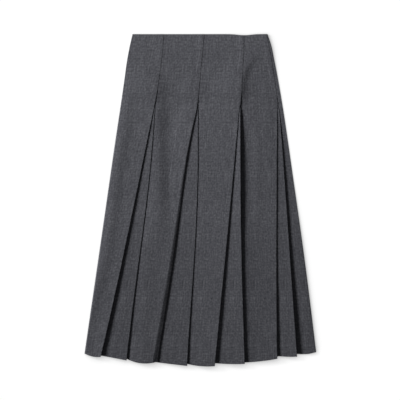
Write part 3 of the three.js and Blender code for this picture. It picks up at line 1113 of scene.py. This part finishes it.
def hem_paths(one):
    """Along each strip of the front, the stitches that hold the hem."""
    paths = []
    folds = [fold for pleat in one.pleats for fold in pleat.folds]
    first, last = outlines(one.side)
    lines = [first, *(fold.line for fold in folds), last]
    hems = [*(fold.hem for fold in folds), OUTLINE_HEM["right"]]
    shown = one.layers[::SHOWN_LAYERS]
    for row, before, after, hem, layer in zip(HEMS, lines, lines[1:], hems, shown):
        start, finish = before(row.start) + STRIP_MARGIN, after(hem) - STRIP_MARGIN
        across = np.arange(start, finish, PATH_STEP)
        share = (across - start) / (finish - start)
        down = mix(row.start, hem, share) + row.sag * bend(share) - HEM_STITCHES_RISE
        height = height_at(layer.heights, across, down)
        paths.append((across, down, on_face(one.side, height)))
    return paths


# ---- Camera, light and table ----------------------------------------------------------------------

VIEW_WIDTH = 1.0667  # of the table that the camera sees
CAMERA_HEIGHT = 5.0
SENSOR = 36.0
KEY_DIRECTION = Vector((-0.82, 0.40, 0.33))
KEY_DISTANCE = 5.0
KEY_SIZE = 1.4
KEY_POWER = 74.5
KEY_SPREAD = math.radians(62)
KEY_AIM = Vector((0.3, 0.7, 0.0))
FILL_COLOUR = (0.97, 0.98, 1.0)
FILL_STRENGTH = 0.10
TABLE_SIZE = 14.0
TABLE_GAP = 0.0002  # keeps the table clear of the face that lies on it
TABLE_COLOUR = (0.15, 0.15, 0.15, 1.0)
TABLE_GLOW = 0.91  # painted glow of the table, at the middle of the skirt
GLOW_ACROSS, GLOW_ALONG = 0.06, -0.066  # change of the painted glow for each metre, against that of the lamp
BRIGHTEST_GLOW = 1.0
# Painted shadow: how far the ambient occlusion that dims the table's glow reaches.
PAINTED_SHADOW_REACH = 0.03
PAINTED_SHADOW_FACING = Vector((-0.6, 0.12, 0.8)).normalized()  # the painted shadow round the skirt falls the other way
PAINTED_SHADOW_SAMPLES = 16


def make_camera():
    camera = bpy.data.cameras.new("camera")
    camera.sensor_width = SENSOR
    camera.lens = SENSOR * CAMERA_HEIGHT / VIEW_WIDTH
    camera.clip_start, camera.clip_end = 0.1, 50.0
    holder = bpy.data.objects.new("camera", camera)
    holder.location = (0.0, 0.0, CAMERA_HEIGHT)
    bpy.context.scene.collection.objects.link(holder)
    bpy.context.scene.camera = holder


def make_lights():
    light = bpy.data.lights.new("window", "AREA")
    light.shape, light.size, light.energy = "DISK", KEY_SIZE, KEY_POWER
    light.spread = KEY_SPREAD
    holder = bpy.data.objects.new("window", light)
    holder.location = KEY_DIRECTION.normalized() * KEY_DISTANCE
    holder.rotation_euler = (holder.location - KEY_AIM).to_track_quat("Z", "Y").to_euler()
    bpy.context.scene.collection.objects.link(holder)
    world = bpy.data.worlds.new("studio")
    world.use_nodes = True
    background = world.node_tree.nodes["Background"]
    background.inputs["Color"].default_value = (*FILL_COLOUR, 1.0)
    background.inputs["Strength"].default_value = FILL_STRENGTH
    bpy.context.scene.world = world
    bpy.context.scene.view_settings.view_transform = "Standard"


def make_table():
    half = TABLE_SIZE / 2
    mesh = bpy.data.meshes.new("table_top")
    level = -TABLE_GAP
    corners = [(-half, -half, level), (half, -half, level), (half, half, level), (-half, half, level)]
    mesh.from_pydata(corners, [], [(0, 1, 2, 3)])
    mesh.materials.append(table_top())
    holder = bpy.data.objects.new("table_top", mesh)
    bpy.context.scene.collection.objects.link(holder)


make_camera()
make_lights()
make_table()

# ---- The skirt ------------------------------------------------------------------------------------

front_gores, front_inserts = side_pieces(FRONT, front_pleats, front_layers, front_sheet)
back_gores, back_inserts = side_pieces(BACK, back_pleats, back_layers, back_sheet)
gore_steps = [
    wrapped_gore(back_gores[4], front_gores[0], "left"),
    *front_gores[1:4],
    wrapped_gore(front_gores[4], back_gores[0], "right"),
    *back_gores[1:4],
]
pieces = {f"gore_{index + 1}": steps for index, steps in enumerate(gore_steps)}
for letter, steps in zip("abcdefgh", [*front_inserts, *back_inserts]):
    pieces[f"pleat_insert_{letter}"] = steps

wool = wool_cloth()
for node, steps in pieces.items():
    cloth, flat, area = cloth_mesh(f"{node}_cloth", steps)
    cloth.data.materials.append(wool)
    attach(cloth, "root")
    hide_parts(node)

thread = sewing_thread()
sides = (
    SimpleNamespace(side=FRONT, pleats=front_pleats, layers=front_layers, sheet=front_sheet),
    SimpleNamespace(side=BACK, pleats=back_pleats, layers=back_layers, sheet=back_sheet),
)
tree = stitching()
for name, stitch, paths in (
    ("seam_stitches", SEAM_STITCH, [path for one in sides for path in seam_paths(one)]),
    ("pleat_tacks", TACK_STITCH, tack_paths(sides[0])),
    ("hem_stitches", HEM_STITCH, hem_paths(sides[0])),
):
    stitches = sewn(name, paths, stitch, tree, thread)
    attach(stitches, "root")
